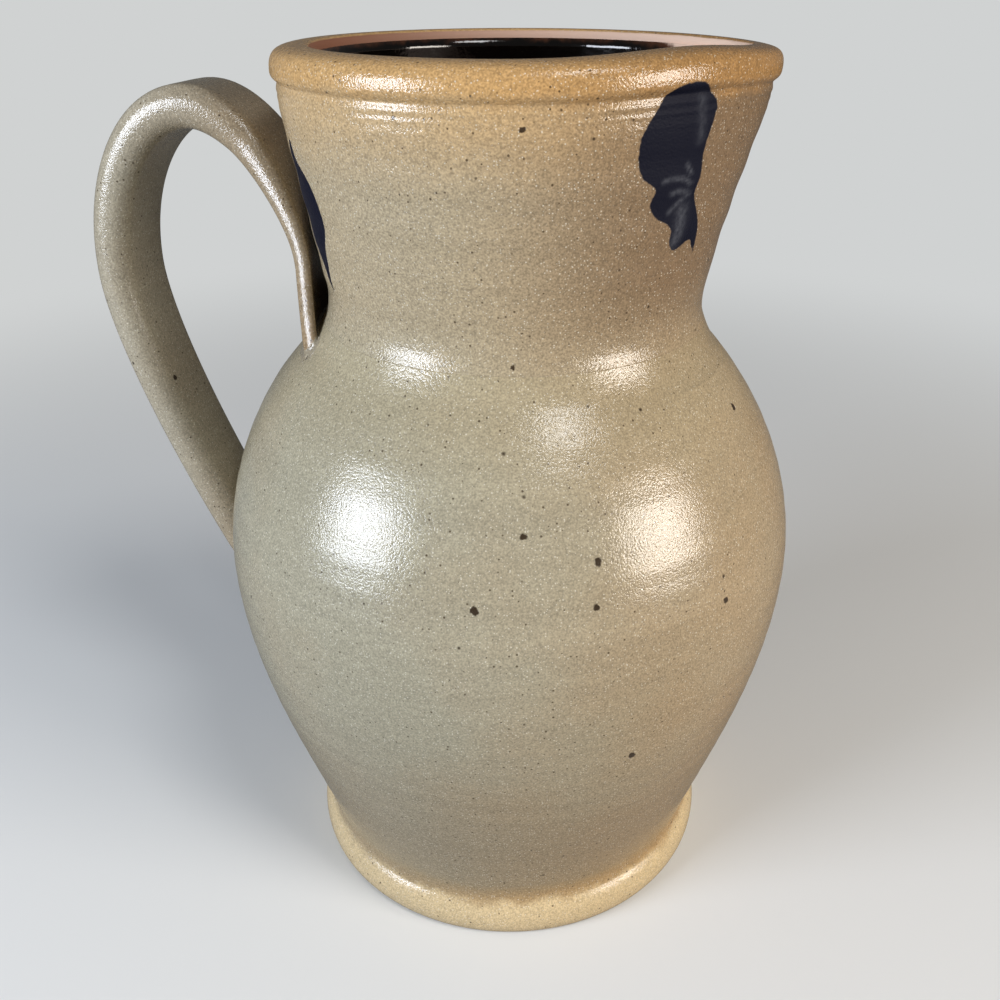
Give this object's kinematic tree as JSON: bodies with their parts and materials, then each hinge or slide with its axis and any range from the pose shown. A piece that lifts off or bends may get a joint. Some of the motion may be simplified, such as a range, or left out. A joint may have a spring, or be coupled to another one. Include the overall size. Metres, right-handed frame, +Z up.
{
  "type": "stoneware pitcher",
  "caption": "Salt-glazed stoneware pitcher with a round belly, flared neck, rolled rim, pulled spout and strap handle, for holding and pouring drinks.",
  "frame": {"origin": "centre of the flat base, on the surface the pitcher stands on", "axes": "+Z up along the throwing axis, +X towards the spout, -X towards the handle"},
  "size_m": [0.1897, 0.1542, 0.228],
  "materials": {
    "salt_glaze": "glossy orange-peel salt glaze over grey-tan stoneware with iron specks",
    "toasted_glaze": "glossy orange-peel salt glaze, toasted brown at the rim, with cobalt brush dabs",
    "handle_glaze": "glossy orange-peel salt glaze over grey-tan stoneware",
    "dark_slip": "very glossy black-brown slip glaze",
    "luting_slip": "thinly glazed stoneware slip"
  },
  "bodies": {
    "root": {"belly": "salt_glaze", "collar_luting": "luting_slip", "neck_collar": "toasted_glaze", "slip_lining": "dark_slip", "strap_handle": "handle_glaze", "upper_handle_luting": "luting_slip", "lower_handle_luting": "luting_slip"}
  },
  "joints": []
}
